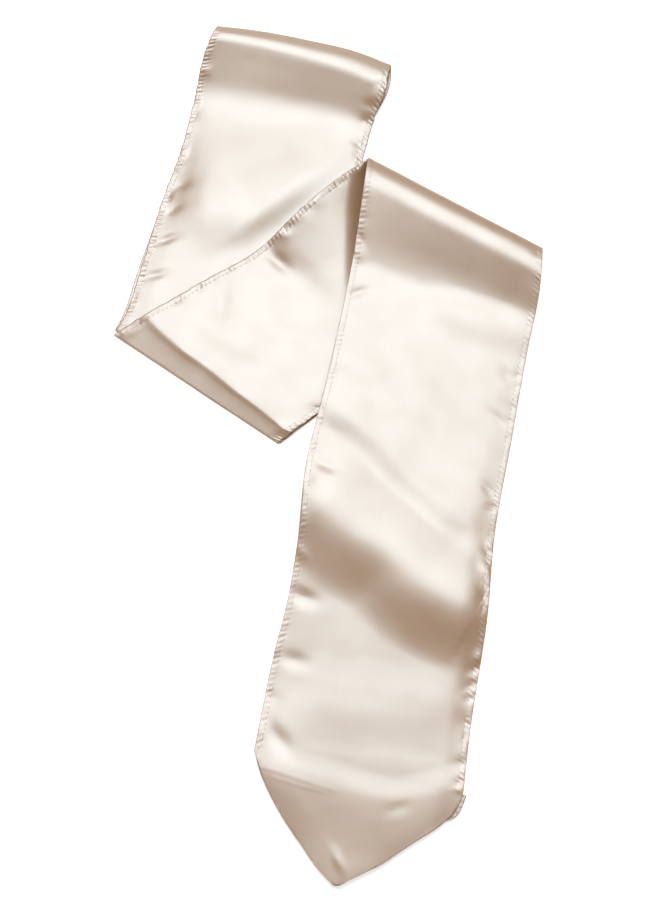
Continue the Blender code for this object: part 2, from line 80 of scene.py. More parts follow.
# How far each hem or side bows to its left, seen along the strip: share of the length, bow
bows = {
    "upperLeft": ((0, 0), (0.11, -3.0), (0.24, -0.2), (0.40, 2.9), (0.57, 1.9), (0.78, 3.4), (0.94, 3.3), (1, 0)),
    "upperRight": ((0, 0), (0.04, 2.7), (0.15, -0.8), (0.30, 0), (1, 0)),
    "middleLeft": ((0, 0), (0.13, -2.8), (0.33, -6.2), (0.50, -10.8), (0.70, -5.5), (0.90, -0.8), (1, 0)),
    "middleRight": ((0, 0), (1, 0)),
    "frontLeft": ((0, 0), (0.18, 2.6), (0.41, 0), (0.54, -3.2), (0.68, 1.8), (0.77, 2.2), (0.84, 0), (1, -1)),
    "frontRight": ((0, 0), (0.10, 2.3), (0.19, 0), (0.38, -2.4), (0.55, -4.6), (0.70, -1.1), (0.90, -1.4), (1, 0)),
    "pointLeft": ((0, 0), (0.08, -2.9), (0.33, -6.5), (0.63, -5.3), (0.90, -2.6), (1, 0)),
    "pointRight": ((0, 0), (0.10, 6.3), (0.24, 8.5), (0.45, 7.2), (0.70, 5.7), (1, 0)),
    "topFold": ((0, 0), (0.16, 3.4), (0.50, 6.0), (0.83, 4.8), (1, 0)),
}

point = {
    "tip": (3.9, -358.0), "tipWidth": 5.0,
    "rise": 2.0, "riseRun": 60.0, "slope": -0.010,  # onto the turned pocket, then down towards the tip
    "foldRadius": 0.95, "underFold": 3.0,  # of the two side folds
    "soften": ((0.6, 18.0), (0.15, 10.0)),  # the top comes down softly towards them: depth, run
    "slitEnd": 0.30, "flapShows": 2.8, "flapTop": 3.0, "flapStart": 4.0,
}

# The middle stretch climbs from a kink at its hem towards the high fold, and dips beside the front stretch's hem
climb = {"from": (-52, 147), "to": (10, 86), "fall": 66.0, "under": 8.0, "corner": 7.4, "cornerReach": 24.0,
         "height": ((0, 0), (5, 0.3), (22, 3.3), (60, 9.9), (90, 12.6), (118, 12.9))}
dip = {"depth": (0.6, 4.5), "run": 105.0, "from": -9.0, "width": (12.0, 22.0), "slope": 0.4}
sink = {"depth": 0.8, "width": 20.0}  # hems settle onto the ply below
eye = {"depth": 2.3, "in": 15.0, "reach": 8.0}  # the open right end of the top roll

# Main creases. line: plan points of the crest. height: above 0 is a ridge, below it a trough.
# reach: width of the slope to the left and to the right of the line.
creases = {
    "upper": [
        {"line": ((-106, 192), (-50, 186), (0, 177)), "height": 3.3, "reach": (90, 58)},
    ],
    "middle": [
        {"line": ((-122, 98), (-96, 80), (-70, 60)), "height": 0.8, "reach": (22, 20)},
    ],
    "front": [
        {"line": ((-14, -60), (16, -90), (48, -110), (72, -134), (112, -156)), "height": 6.0, "reach": (66, 54)},
        {"line": ((5, 10), (35, -15), (60, -44), (104, -84)), "height": 1.5, "reach": (38, 20)},
        {"line": ((-20, -222), (30, -228), (80, -232)), "height": 0.9, "reach": (40, 34)},
        {"line": ((-48, -275), (0, -288), (48, -300), (92, -291)), "height": 0.9, "reach": (22, 46)},
        {"line": ((-46, -274), (-20, -283), (2, -290)), "height": 0.07, "reach": (3.5, 3)},
        {"line": ((-42, -280), (-24, -286), (-6, -291)), "height": 0.06, "reach": (3, 3)},
        {"line": ((88, 100), (126, 86), (165, 72)), "height": 1.0, "reach": (22, 26)},
    ],
}

# Dimples where the stitching pulls: place, heading, half length, half width, depth
dimples = {
    "upper": [
        (-121, 210, 20, 9, 5, 0.5), (-127, 187, 30, 8, 4, 0.5),
        (-131, 160, 20, 10, 4, 0.8), (-139, 128, 15, 10, 4, 0.7),
        (35, 282, -30, 7, 4, 0.5), (33, 268, -30, 7, 4, 0.6), (24, 249, -35, 8, 4, 0.5),
    ],
    "middle": [
        (-86, 104, 84, 22, 7, 0.8), (-41, 139, -48, 13, 6, 1.2), (-96, 52, 60, 12, 7, 0.4),
    ],
    "front": [
        (23, 111, 20, 9, 4, 0.6), (-3, -38, -30, 9, 5, 0.7), (-19, -143, -25, 10, 6, 0.9),
        (-26, -192, -20, 10, 6, 0.6), (138, 40, -60, 8, 4, 0.4), (130, 3, -50, 10, 4, 0.4), (122, -57, -50, 9, 4, 0.45),
        (50, -303, 20, 9, 5, 0.25), (6, -341, -68, 9, 3.5, -0.45),
        (-37, -252, -57, 13, 6, 0.9),
    ],
}

stitches = {"length": 2.6, "thread": 0.42}

hem = {
    "stitchIn": 4.5, "pitch": 4.1, "raise": 0.06, "groove": 0.05, "edge": 0.1,
    "bead": 0.12, "slant": 0.5,  # small uneven beads between the stitches
    "spacing": (5, 17), "depth": (0.03, 0.6), "length": (5, 18),  # larger puckers
    # how strong the beads and puckers are on the left and the right hem
    "pull": {"upper": ((1.9, 1.8), (2.6, 2.4)), "middle": ((2.4, 1.6), (1.6, 1.4)),
             "front": ((1.2, 1.2), (1.7, 2.0))},
    "scallop": 0.16,  # unevenness of the edge in plan
}


def smooth(share):
    share = np.clip(share, 0.0, 1.0)
    return share * share * (3 - 2 * share)


def ramp(way, start, end):
    # an even slope that starts and ends softly, each over a share of the way
    places = np.linspace(0, 1, 301)
    total = np.cumsum(smooth(places / start) * smooth((1 - places) / end))
    return np.interp(way, places, (total - total[0]) / (total[-1] - total[0]))


def curved(table, at):
    # a smooth curve through the rows of a two-column table
    places, values = np.array(table, float).T
    slopes = np.gradient(values, places)
    row = np.clip(np.searchsorted(places, at, side="right") - 1, 0, len(places) - 2)
    step = places[row + 1] - places[row]
    t = (at - places[row]) / step
    low = (1 + 2 * t) * (1 - t) ** 2 * values[row] + t * (1 - t) ** 2 * step * slopes[row]
    high = t * t * (3 - 2 * t) * values[row + 1] + t * t * (t - 1) * step * slopes[row + 1]
    return low + high


def pick(values, share):
    # a value between evenly spaced ones
    return np.interp(share, np.linspace(0, 1, len(values)), values)


def unit(line):
    return line / np.linalg.norm(line)


def foldEnds(name):
    fold = folds[name]
    left = np.array((fold["x"], fold["y"]))
    heading = math.radians(fold["heading"])
    length = sash["width"] / math.sin(math.radians(fold["lean"]))
    return left, left + length * np.array((math.cos(heading), math.sin(heading)))


def foldInset(name, plan):
    # how far a plan point lies on the cloth's side of a fold, or past the base line
    left, right = foldEnds(name)
    along = unit(right - left)
    inset = (plan - left) @ np.array((along[1], -along[0]))
    if name == "top":
        inset = inset + curved(bows["topFold"], np.clip(foldShare(name, plan), 0, 1))
    return -inset if name == "low" else inset


def foldShare(name, plan):
    left, right = foldEnds(name)
    return (plan - left) @ (right - left) / ((right - left) @ (right - left))


def makeRun(name, start, end):
    (left0, right0), (left1, right1) = foldEnds(start), foldEnds(end)
    length = (np.linalg.norm(left1 - left0) + np.linalg.norm(right1 - right0)) / 2
    return {"name": name, "start": start, "end": end, "length": length,
            "left": (left0, left1), "right": (right0, right1)}


runs = {"upper": makeRun("upper", "top", "low"), "middle": makeRun("middle", "low", "high"),
        "front": makeRun("front", "high", "base")}


def edgePoint(ends, bow, at):
    start, end = ends
    along = unit(end - start)
    at = np.asarray(at, float)
    bowed = curved(bows[bow], np.clip(at, 0, 1))
    return start + at[..., None] * (end - start) + bowed[..., None] * np.array((-along[1], along[0]))


def planOf(run, along, across, inset):
    # plan points a share along and across the strip, counted from an inset inside its first fold
    fold = unit(run["right"][0] - run["left"][0])
    sides = []
    for side in ("left", "right"):
        line = run[side][1] - run[side][0]
        share = inset / abs(line[0] * fold[1] - line[1] * fold[0])
        sides.append(edgePoint(run[side], run["name"] + side.title(), share + (1 - share) * along))
        if side == "left":
            leftAlong, leftLine = share + (1 - share) * along, line
    plan = sides[0] + (sides[1] - sides[0]) * across[..., None]
    if run["start"] == "top":
        bow = curved(bows["topFold"], np.clip(across, 0, 1)) * (1 - smooth((leftAlong - 0.06) * 5))
        plan = plan - bow[..., None] * unit(leftLine)
    return plan


def hemInset(run, side, plan):
    # how far a plan point lies inside a hem
    start, end = run[side]
    other = run["right" if side == "left" else "left"][0]
    along = unit(end - start)
    normal = np.array((-along[1], along[0]))
    at = (plan - start) @ along / np.linalg.norm(end - start)
    out = (plan - start) @ normal - curved(bows[run["name"] + side.title()], np.clip(at, 0, 1))
    return out * np.sign((other - start) @ normal)


def rollTop(name, plan, settled):
    # outer height of a turned edge, from halfway up its outer side to where it has settled
    roll, share, inset = rolls[name], foldShare(name, plan), foldInset(name, plan)
    edge, edgeIn, crest, crestIn, settledIn = (
        pick(roll[key], share) for key in ("edge", "edgeIn", "crest", "crestIn", "settled"))
    back = np.clip((edgeIn - inset) / edgeIn, 0, 1)
    climb = (crest - edge) * curved(roll["profile"], np.clip(inset / crestIn, 0, 1))
    rise = edge / 2 * (1 + np.sqrt(1 - back * back)) + climb
    way = np.clip((inset - crestIn) / (settledIn - crestIn), 0, 1)
    leftEnd, rightEnd = (ramp(way, *soft) for soft in roll["soft"])
    fall = crest + (settled - crest) * (leftEnd + (rightEnd - leftEnd) * np.clip(share, 0, 1))
    return np.where(inset < crestIn, rise, fall)


def creaseHeight(name, plan):
    total = np.zeros(plan.shape[:-1])
    for crease in creases[name]:
        line = np.array(crease["line"], float)
        places = np.linspace(0, 1, len(line))
        at = np.linspace(-0.25, 1.25, 90)
        held = np.clip(at, 0, 1)
        path = np.stack([curved(list(zip(places, line[:, axis])), held) for axis in (0, 1)], -1)
        path += (at - held)[:, None] * np.linalg.norm(line[-1] - line[0]) * unit(line[-1] - line[0])
        tangent = np.gradient(path, axis=0)
        tangent /= np.linalg.norm(tangent, axis=1)[:, None]
        flat = plan.reshape(-1, 2)
        nearest = np.argmin(((flat[:, None] - path[None]) ** 2).sum(-1), axis=1)
        offset = flat - path[nearest]
        side = tangent[nearest, 0] * offset[:, 1] - tangent[nearest, 1] * offset[:, 0]
        length = np.linalg.norm(path[-1] - path[0])
        place = at[nearest] + (offset * tangent[nearest]).sum(-1) / length * 1.5
        ends = smooth((place + 0.25) / 0.35) * smooth((1.25 - place) / 0.35)
        reach = np.where(side > 0, *crease["reach"])
        bump = crease["height"] * ends * smooth(1 - np.abs(side) / reach)
        total += bump.reshape(total.shape)
    return total


def overUpper(plan):
    # 1 where the middle stretch lies on the upper one, falling away past its right hem
    return smooth(1 + hemInset(runs["upper"], "right", plan) / sash["dropRun"][0])


def overMiddle(plan):
    return smooth(1 + hemInset(runs["middle"], "right", plan) / sash["dropRun"][1])


def middleClimb(plan):
    start, end = np.array(climb["from"], float), np.array(climb["to"], float)
    along = unit(end - start)
    height = curved(climb["height"], np.clip((plan - start) @ np.array((-along[1], along[0])), 0, 118))
    share = np.clip((climb["under"] - hemInset(runs["front"], "left", plan)) / climb["fall"], 0, 1)
    return height * (1 - (1 - share) ** 1.3)


def middleBed(plan):
    return sash["ply"] * (1 + overUpper(plan)) + middleClimb(plan)


def middleDip(plan):
    beside = -hemInset(runs["front"], "left", plan)
    near = smooth(1.3 - foldInset("high", plan) / dip["run"])
    return pick(dip["depth"], near) * (1 - smooth((beside - dip["from"]) / pick(dip["width"], near)))


def hemSink(name, plan):
    # how far a hem settles below the height of the cloth further in, where it lies on the floor layer
    run = runs[name]
    near = np.minimum(hemInset(run, "left", plan), hemInset(run, "right", plan))
    raised = {"upper": 0.0, "middle": overUpper(plan), "front": overMiddle(plan)}[name]
    return sink["depth"] * (1 - raised) * (1 - smooth(near / sink["width"]))


def frontBed(plan):
    below = sash["ply"] * (1 + overUpper(plan)) + sash["solidCloth"] + sash["gap"]
    return sash["ply"] + overMiddle(plan) * (below - sash["ply"])


def pocketRise(plan):
    past = foldInset("base", plan)
    rise = point["rise"] * smooth(1 + past / point["riseRun"]) - point["slope"] * np.clip(past, 0, None)
    base, tip = foldEnds("base"), np.array(point["tip"])
    for corner, side, (depth, run) in zip(base, (1, -1), point["soften"]):
        line = unit(tip - corner)
        near = side * ((plan - corner) @ np.array((-line[1], line[0]))) + 6
        rise = rise - depth * np.clip(1 - near / run, 0, 1) ** 2 * smooth(past / 30)
    return rise


def clothTop(name, plan):
    # outer height of a stretch with its rolls and main creases
    if name == "upper":
        bed, clear = sash["ply"], smooth(-hemInset(runs["middle"], "left", plan) / 26)
    elif name == "middle":
        bed, clear = middleBed(plan), smooth((-hemInset(runs["front"], "left", plan) - 4) / 30)
    else:
        bed, clear = frontBed(plan) + pocketRise(plan), 1.0
    run = runs[name]
    near = np.minimum(hemInset(run, "left", plan), hemInset(run, "right", plan))
    held = 0.9 + 0.1 * smooth(near / 24)
    settled = bed + sash["solidCloth"] + creaseHeight(name, plan) * clear * held - hemSink(name, plan)
    top = rollTop(run["start"], plan, settled)
    if name == "middle":
        lowest = overUpper(plan) * clothTop("upper", plan) + 2 * sash["onFloor"] + 0.1
        top = np.maximum(top - middleDip(plan), np.minimum(top, lowest))
        beside = -hemInset(runs["front"], "left", plan)
        cover = clothTop("front", plan) - 0.9 + dip["slope"] * np.clip(beside, 0, None)
        top = (top + cover - np.sqrt((top - cover) ** 2 + 0.2)) / 2
        away = np.linalg.norm(plan - foldEnds("high")[0], axis=-1) / climb["cornerReach"]
        byHem = 1 - smooth(hemInset(run, "left", plan) / 9)
        top = top + np.clip(climb["corner"] - top, 0, None) * np.exp(-away ** 2) * byHem
    return top


def dimpleHeight(name, plan):
    total = np.zeros(plan.shape[:-1])
    for x, y, heading, halfLength, halfWidth, depth in dimples[name]:
        turn = math.radians(heading)
        along = (plan - (x, y)) @ np.array((math.cos(turn), math.sin(turn))) / halfLength
        across = (plan - (x, y)) @ np.array((-math.sin(turn), math.cos(turn))) / halfWidth
        total -= depth * np.exp(-along ** 2 - across ** 2)
    return total


def wobble(plan, seed):
    # slow unevenness of cloth that has been folded and laid down
    draw = np.random.default_rng(seed)
    total = np.zeros(plan.shape[:-1])
    for wave in draw.uniform(38, 110, 9):
        turn, shift = draw.uniform(0, 2 * np.pi, 2)
        total += wave * 0.0006 * np.sin(plan @ np.array((math.cos(turn), math.sin(turn))) * 2 * np.pi / wave + shift)
    return total


def hemRelief(along, inset, seed, pull):
    # a turned hem is three cloths thick, is pressed down along its stitches, and puckers
    draw = np.random.default_rng(seed)
    relief = hem["raise"] * (1 - smooth((inset - hem["stitchIn"] + 1) / 2.6))
    relief -= hem["groove"] * np.exp(-((inset - hem["stitchIn"]) / 0.9) ** 2)
    relief -= hem["edge"] * np.exp(-(inset / 0.6) ** 2)
    each = np.arange(int(along.max() / hem["pitch"]) + 2)
    strength = np.interp(along / hem["pitch"], each, draw.uniform(0.1, 1, len(each)))
    shift = np.interp(along / hem["pitch"], each, draw.uniform(-1.4, 1.4, len(each)))
    phase = 2 * np.pi * (along + hem["slant"] * inset) / hem["pitch"] + shift
    relief += pull[0] * hem["bead"] * strength * np.sin(phase) * np.exp(-((inset - 2.4) / 3.0) ** 2)
    place = 0.0
    while place < along.max():
        place += draw.uniform(*hem["spacing"])
        depth = pull[1] * draw.uniform(*hem["depth"]) ** 1.5 * draw.choice((-1, 1, -1))
        length, slant = draw.uniform(*hem["length"]), draw.uniform(-0.5, 0.5)
        width = draw.uniform(2.6, 5.0) * (1 + inset / length)
        shape = np.exp(-((along - place - slant * inset) / width) ** 2)
        relief += depth * shape * smooth(0.35 + inset / 8) * (1 - smooth(inset / length))
    return relief


def scalloped(plan, along, across, seed):
    # the hems waver a little in plan
    draw = np.random.default_rng(seed)
    outward = plan[:, -1:] - plan[:, :1]
    outward = outward / np.linalg.norm(outward, axis=-1)[..., None]
    for side, inset in ((-1, across * sash["width"]), (1, (1 - across) * sash["width"])):
        wave = sum(np.sin(along / length + draw.uniform(0, 6)) for length in (0.9, 1.6, 3.1))
        plan = plan + side * outward * (hem["scallop"] * wave * np.exp(-inset / 5))[..., None]
    return plan


def columnShares(step):
    # fine columns by the hems and coarser ones between, with one on each stitch line
    half, inset, gap = [], 0.0, 0.75
    while inset < sash["width"] / 2 - gap:
        half.append(inset)
        gap = gap if inset < 9 else min(gap * 1.16, step)
        inset += gap
    half = np.array(half) / sash["width"]
    return np.concatenate((half, (0.5,), 1 - half[::-1]))


def pointSides(at, setback):
    base = (runs["front"]["left"][1], runs["front"]["right"][1])
    tip, half = np.array(point["tip"]), unit(base[0] - base[1]) * point["tipWidth"] / 2
    left = edgePoint((base[0], tip + half), "pointLeft", at)
    right = edgePoint((base[1], tip - half), "pointRight", at)
    inward = (right - left) / np.linalg.norm(right - left, axis=-1)[..., None] * setback
    return left + inward, right - inward


def hexColour(code):
    parts = [int(code[place:place + 2], 16) / 255 for place in (0, 2, 4)]
    return tuple(part / 12.92 if part <= 0.04045 else ((part + 0.055) / 1.055) ** 2.4 for part in parts) + (1,)


def addNode(tree, kind, settings, inputs):
    # adds one node with its settings, and gives its inputs their values or links
    node = tree.nodes.new(kind)
    for key, value in settings.items():
        setattr(node, key, value)
    for key, value in inputs.items():
        if isinstance(value, bpy.types.NodeSocket):
            tree.links.new(value, node.inputs[key])
        else:
            node.inputs[key].default_value = value
    return node


def startMaterial(name):
    material = bpy.data.materials.new(name)
    material.use_nodes = True
    return material, material.node_tree, material.node_tree.nodes["Principled BSDF"]


def makeSatin():
    # satin, woven polyester: long smooth floats of warp thread give it a soft gloss, with faint streaks
    # along the warp, a slow unevenness of the press, and the fine ribs of the weave
    satin, tree, shader = startMaterial("wovenPolyesterSatin")
    place = addNode(tree, "ShaderNodeUVMap", {"uv_map": "UVMap"}, {}).outputs["UV"]
    warp = addNode(tree, "ShaderNodeMapping", {}, {"Vector": place, "Scale": (1 / 0.0011, 1 / 0.045, 1)})
    streaks = addNode(tree, "ShaderNodeTexNoise", {}, {
        "Vector": warp.outputs["Vector"], "Scale": 1.0, "Detail": 3.0, "Roughness": 0.6}).outputs["Fac"]
    slow = addNode(tree, "ShaderNodeTexNoise", {}, {
        "Vector": place, "Scale": 1 / 0.022, "Detail": 2.0, "Roughness": 0.5}).outputs["Fac"]
    tone = addNode(tree, "ShaderNodeMath", {"operation": "MULTIPLY_ADD"}, {0: streaks, 1: 0.5, 2: 0.0})
    tone = addNode(tree, "ShaderNodeMath", {"operation": "MULTIPLY_ADD"}, {0: slow, 1: 0.5, 2: tone.outputs[0]})
    colour = addNode(tree, "ShaderNodeMix", {"data_type": "RGBA"}, {
        "Factor": tone.outputs[0], "A": hexColour("a67c5a"), "B": hexColour("b18865")})
    tree.links.new([out for out in colour.outputs if out.type == "RGBA"][0], shader.inputs["Base Color"])
    gloss = addNode(tree, "ShaderNodeMapRange", {}, {
        "Value": slow, "From Min": 0.3, "From Max": 0.7, "To Min": 0.32, "To Max": 0.35})
    tree.links.new(gloss.outputs["Result"], shader.inputs["Roughness"])
    ribs = addNode(tree, "ShaderNodeMapping", {}, {"Vector": place, "Scale": (1 / 0.0018, 1 / 0.0003, 1)})
    weave = addNode(tree, "ShaderNodeTexNoise", {}, {
        "Vector": ribs.outputs["Vector"], "Scale": 1.0, "Detail": 1.0}).outputs["Fac"]
    press = addNode(tree, "ShaderNodeBump", {}, {"Height": slow, "Strength": 1.0, "Distance": 0.00011})
    bump = addNode(tree, "ShaderNodeBump", {}, {
        "Height": weave, "Strength": 0.25, "Distance": 0.00002, "Normal": press.outputs["Normal"]})
    tree.links.new(bump.outputs["Normal"], shader.inputs["Normal"])
    shader.inputs["Specular IOR Level"].default_value = 1.0
    shader.inputs["IOR"].default_value = 1.75
    shader.inputs["Specular Tint"].default_value = hexColour("faffff")
    return satin


def makeThread():
    # sewing thread, spun polyester: the same shade as the cloth with less gloss
    thread, tree, shader = startMaterial("spunPolyesterThread")
    place = addNode(tree, "ShaderNodeTexCoord", {}, {}).outputs["Object"]
    fibres = addNode(tree, "ShaderNodeTexNoise", {}, {"Vector": place, "Scale": 1 / 0.0004}).outputs["Fac"]
    colour = addNode(tree, "ShaderNodeMix", {"data_type": "RGBA"}, {
        "Factor": fibres, "A": hexColour("b09783"), "B": hexColour("d0bcaa")})
    tree.links.new([out for out in colour.outputs if out.type == "RGBA"][0], shader.inputs["Base Color"])
    shader.inputs["Roughness"].default_value = 0.5
    return thread


def turnRows(name):
    # rows of a turned edge: inset and height of the tuck and the lower quarter, then shares of the way to the crest
    roll = rolls[name]
    half, lift = roll["edge"][0] / 2, roll["lift"]
    under = [(sash["tuck"] - step * (sash["tuck"] - lift) / 6, 0.0) for step in range(6)]
    for step in range(9):
        angle = math.pi / 2 * step / 9
        under.append((lift * (1 - math.sin(angle)), half * (1 - math.cos(angle))))
    over = [1 - math.cos(math.pi / 2 * step / 24) for step in range(24)]
    return under, over


def clothGrid(name, points, uvs, mirrored, satin):
    # a grid primitive whose vertices are moved onto the cloth's points
    rows, columns = points.shape[0] - 1, points.shape[1] - 1
    bpy.ops.object.select_all(action="DESELECT")
    bpy.ops.mesh.primitive_grid_add(x_subdivisions=columns, y_subdivisions=rows, size=1)
    sheet = bpy.context.object
    sheet.name = sheet.data.name = name
    flat = np.empty(len(sheet.data.vertices) * 3)
    sheet.data.vertices.foreach_get("co", flat)
    flat = flat.reshape(-1, 3)
    column = np.rint((flat[:, 0] + 0.5) * columns).astype(int)
    row = np.rint((0.5 - flat[:, 1]) * rows).astype(int)
    if mirrored:
        column = columns - column
    sheet.data.vertices.foreach_set("co", (points[row, column] * mm).ravel())
    corner = np.empty(len(sheet.data.loops), np.int32)
    sheet.data.loops.foreach_get("vertex_index", corner)
    sheet.data.uv_layers[0].data.foreach_set("uv", (uvs[row, column] * mm)[corner].ravel())
    sheet.data.update()
    sheet.data.materials.append(satin)
    bpy.ops.object.shade_smooth()
    wall = sheet.modifiers.new("cloth", "SOLIDIFY")
    wall.thickness, wall.offset = sash["cloth"] * mm, -1
    bpy.ops.object.modifier_apply(modifier=wall.name)
    return sheet


def stripPoints(run, across, rowStep):
    # rows of plan points from a stretch's tuck over its roll to its far end, with heights only for the lower turn
    roll = rolls[run["start"]]
    crestIn = pick(roll["crestIn"], across)
    under, over = turnRows(run["start"])
    rows, heights = [], []
    for inset, height in under:
        rows.append(planOf(run, 0.0 * across, across, inset + 0 * across))
        heights.append(height + 0 * across)
    for share in over:
        rows.append(planOf(run, 0.0 * across, across, crestIn * share))
        heights.append(np.nan * across)
    count = round((run["length"] - np.mean(roll["crestIn"])) / rowStep)
    short = {"base": 0.0, "high": 1.5, "low": 5.0 + 10.0 * smooth(across * 6)}[run["end"]]
    last = 1 - short / run["length"]
    for step in range(count + 1):
        rows.append(planOf(run, last * step / count + 0 * across, across, crestIn))
        heights.append(np.nan * across)
    return rows, heights


def shapeSheet(name, plan, height, along, across, mirrored, satin):
    points = np.concatenate((plan, height[..., None]), -1)
    rowWidth = np.linalg.norm(plan[:, -1] - plan[:, 0], axis=-1)[:, None]
    uvs = np.stack(((across - 0.5) * sash["width"] * np.minimum(rowWidth / rowWidth[0], 1) + 0 * along, along), -1)
    sheet = clothGrid(name, points, uvs, mirrored, satin)
    print(name + ":", len(sheet.data.polygons), "faces")
    return sheet, points


def distanceAlong(plan):
    middle = plan[:, plan.shape[1] // 2]
    steps = np.linalg.norm(np.diff(middle, axis=0), axis=1)
    return np.concatenate(((0,), np.cumsum(steps)))[:, None] + np.zeros(plan.shape[1])


def makeStretch(name, seed, mirrored, satin):
    # the ply that shows
    run = runs[name]
    across = columnShares(sash["coarseStep"])
    rows, heights = stripPoints(run, across, sash["rowStep"][name])
    plan = np.array(rows)
    if name == "front":
        steps = round(np.linalg.norm(np.array(point["tip"]) - run["left"][1]) / sash["rowStep"][name])
        left, right = pointSides((np.arange(steps) + 1) / steps, 0.0)
        plan = np.concatenate((plan, left[:, None] + (right - left)[:, None] * across[None, :, None]))
        heights += [np.nan * across] * steps
    given = np.array(heights)
    along = distanceAlong(plan)
    relief = sum(hemRelief(along, inset + 0 * along, seed + side, hem["pull"][name][side]) for side, inset in
                 enumerate((across * sash["width"], (1 - across) * sash["width"])))
    if name == "front":
        relief *= 1 - smooth((foldInset("base", plan) + 6) / 8)  # the point's sides are folds and aren't sewn
    top = clothTop(name, plan) + relief + dimpleHeight(name, plan) + wobble(plan, seed + 2)
    if name != "front":
        plan = scalloped(plan, along, across, seed + 3)
    if name == "upper":
        # the roll's open right end, where the ply beneath shows
        curl = eye["depth"] * np.exp(-((foldInset("top", plan) - eye["in"]) / eye["reach"]) ** 2)
        shift = curl * np.exp(-(1 - across) * sash["width"] / 12)
        plan = plan - unit(run["right"][0] - run["left"][0]) * shift[..., None]
    height = np.where(np.isnan(given), top, given)
    if name == "front":
        plan, height, along, across = foldSides(plan, height, along, across, steps, np.isnan(given[:, 0]))
    sheet, points = shapeSheet(name + "Stretch", plan, height, along, across, mirrored, satin)
    return sheet, points, along, across


def foldSides(plan, height, along, across, steps, onTop):
    # The point's two sides turn down round a small fold and run back under it. On the strip's hems the same
    # columns make the rounded edge.
    turn = np.linspace(0, 1, 7)[1:]
    rows = len(plan)
    share = smooth((np.arange(rows) - (rows - steps)) / 10)[:, None]
    out = []
    for side, inner in ((0, 1), (-1, -2)):
        edge, away = plan[:, side], plan[:, side] - plan[:, inner]
        away = away / np.maximum(np.linalg.norm(away, axis=1), 1e-6)[:, None]
        r = 0.3 + (point["foldRadius"] - 0.3) * share
        angle = np.pi / 2 * (1 + share) * np.clip(turn / 0.75, 0, 1)
        back = point["underFold"] * share * np.clip((turn - 0.75) / 0.25, 0, 1)
        shift = r * (np.sin(angle) - 1) - back
        bent = edge[:, None] + away[:, None] * shift[..., None]
        out.append((bent, height[:, side][:, None] - r * (1 - np.cos(angle)) * np.where(onTop, 1, -1)[:, None]))
    pull = (0.3 + (point["foldRadius"] - 0.3) * share) / sash["width"]
    plan, height = plan.copy(), height.copy()
    for side, inner in ((0, 1), (-1, -2)):
        away = plan[:, side] - plan[:, inner]
        away = away / np.maximum(np.linalg.norm(away, axis=1), 1e-6)[:, None]
        plan[:, side] -= away * pull * sash["width"]
    plan = np.concatenate((out[0][0][:, ::-1], plan, out[1][0]), axis=1)
    height = np.concatenate((out[0][1][:, ::-1], height, out[1][1]), axis=1)
    extra = np.arange(1, 7) / sash["width"] * 0.8
    across = np.concatenate((-extra[::-1], across, 1 + extra))
    return plan, height, along[:, :1] + np.zeros(len(across)), across


def makeUnderPly(name, leftSetback, rightSetback, mirrored, satin):
    # The second ply of the doubled sash under a stretch: it turns inside the same roll and lies just below.
    run, roll = runs[name], rolls[runs[name]["start"]]
    across = columnShares(6.0)
    rows, heights = stripPoints(run, across, sash["coarseStep"])
    plan, given = np.array(rows), np.array(heights)
    along = distanceAlong(plan)
    share = along / along.max()
    width = sash["width"]
    left = curved(leftSetback, share) / width
    right = curved(rightSetback, share) / width
    plan = plan + (plan[:, -1:] - plan[:, :1]) * (left * (1 - across) - right * across)[..., None]
    if name == "front":
        steps = 40
        a, b = pointSides((np.arange(steps) + 1) / steps, 1.2)
        plan = np.concatenate((plan, a[:, None] + (b - a)[:, None] * across[None, :, None]))
        given = np.concatenate((given, np.full((steps, len(across)), np.nan)))
        along = distanceAlong(plan)
    bed = sash["onFloor"] + 0 * along
    if name == "middle":
        bed += overUpper(plan) * (clothTop("upper", plan) + 0.05)
    if name == "front":
        bed += overMiddle(plan) * (clothTop("middle", plan) + 0.05)
    if name == "upper":
        keep = np.isnan(given).all(axis=1)
        plan, height, along = plan[keep], bed[keep], along[keep]
    else:
        outer = np.where(np.isnan(given), rollTop(run["start"], plan, bed), given)
        crest = roll["crest"][0]
        nested = 0.7 + outer * (crest - 1.9) / crest
        inset = foldInset(run["start"], plan)
        inRoll = 1 - smooth((inset - 12) / 40)
        height = np.where(np.isnan(given), np.minimum(bed + (nested - bed) * inRoll, outer - 0.8 - 0.5 * inRoll), nested)
        height = np.maximum(height, np.where(np.isnan(given), sash["onFloor"], 0.7))
        fold = foldEnds(run["start"])
        inward = unit(fold[1] - fold[0])[::-1] * np.array((1, -1)) * (-1 if run["start"] == "low" else 1)
        plan = plan + inward * (1.3 * inRoll)[..., None]
    return shapeSheet(name + "UnderPly", plan, height, along, across, mirrored, satin)[0]


def makePointBack(satin):
    # the turned pocket behind the point: two flaps that meet in a centre seam, with a stitched mouth
    steps, across = 110, columnShares(3.0)
    at = (np.arange(steps + 1) + 0.02) / (steps + 1)
    left, right = pointSides(at, point["flapStart"])
    shows = (point["flapStart"] + point["flapShows"]) * smooth((point["slitEnd"] - 0.04 - at) * 8)
    right = right + (right - left) / np.linalg.norm(right - left, axis=1)[:, None] * shows[:, None]
    plan = left[:, None] + (right - left)[:, None] * across[None, :, None]
    along = distanceAlong(plan)
    height = point["flapTop"] - 0.5 * np.exp(-((across - 0.5) / 0.012) ** 2) + 0 * along
    height = height + 0.05 * np.sin(along / 0.62 + 2.0) * smooth((across - 0.9) / 0.1)
    return shapeSheet("pointBack", plan, height, along, across, False, satin)[0]


